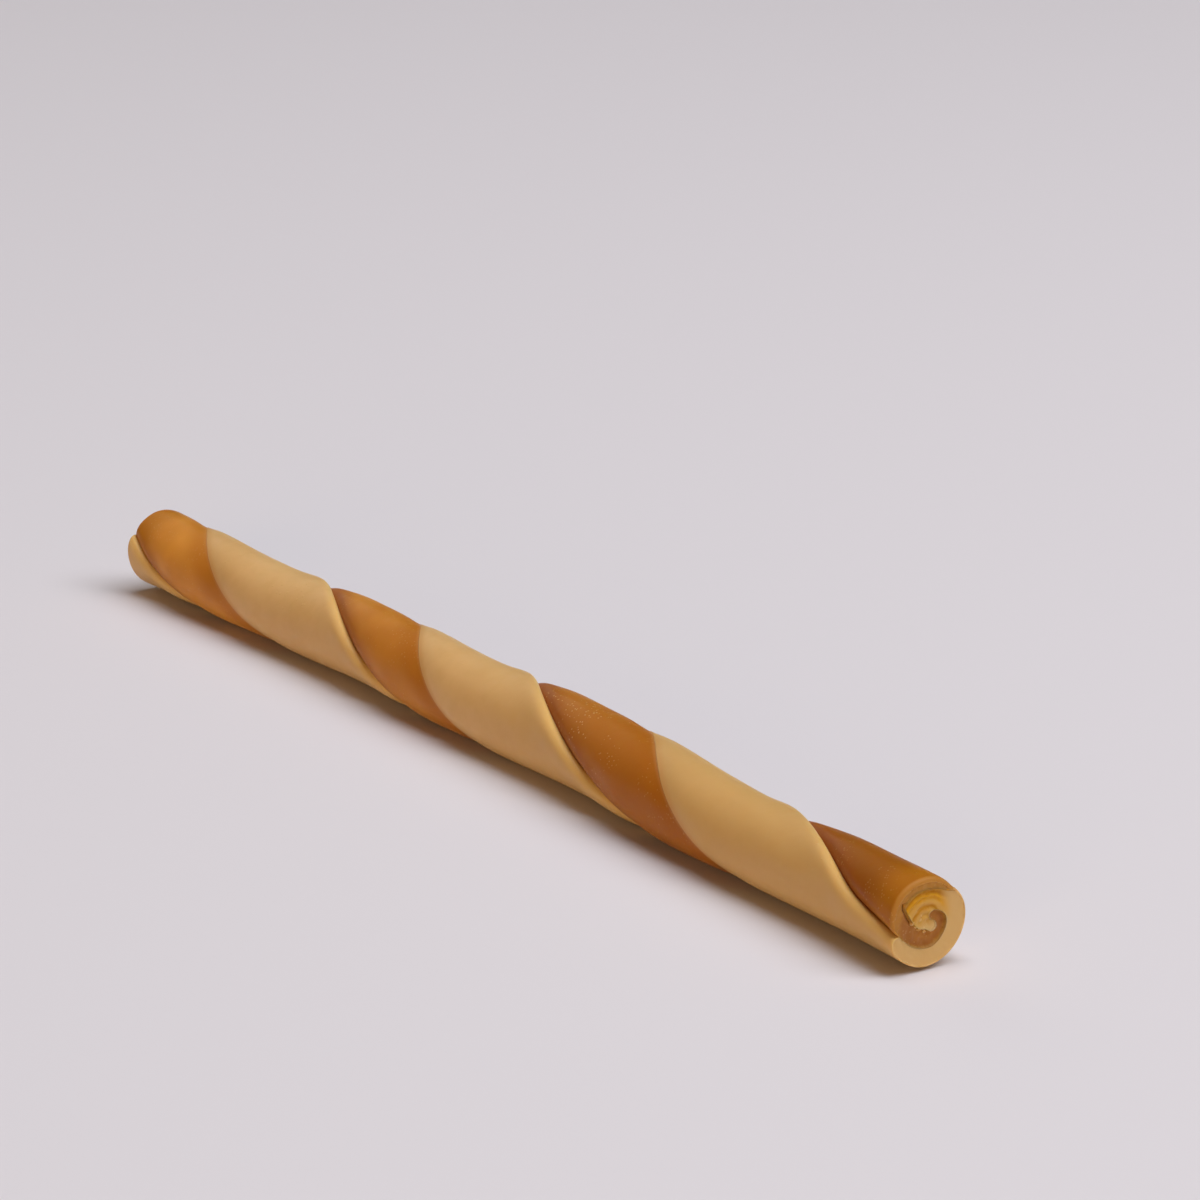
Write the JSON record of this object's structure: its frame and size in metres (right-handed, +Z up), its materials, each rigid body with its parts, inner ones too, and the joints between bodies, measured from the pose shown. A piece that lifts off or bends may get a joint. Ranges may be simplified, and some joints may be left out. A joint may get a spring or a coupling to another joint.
{
  "type": "twisted chew stick",
  "caption": "Slim pet chew stick of a cream and a caramel dough strip, rolled round each other and twisted like rope, with square-cut ends.",
  "frame": {"origin": "under the middle of the stick, on the surface that it lies on", "axes": "+X along the stick, towards the end cut where the crack is widest open; +Z up; +Y across, towards the outside of the slight bow"},
  "size_m": [0.127, 0.0094, 0.0083],
  "materials": {
    "cream_dough": "semi-matte, slightly waxy and translucent firm chew dough, cream",
    "caramel_dough": "semi-matte, slightly waxy and translucent firm chew dough, caramel brown"
  },
  "bodies": {
    "root": {"cream_strip": "cream_dough", "caramel_strip": "caramel_dough"}
  },
  "joints": []
}
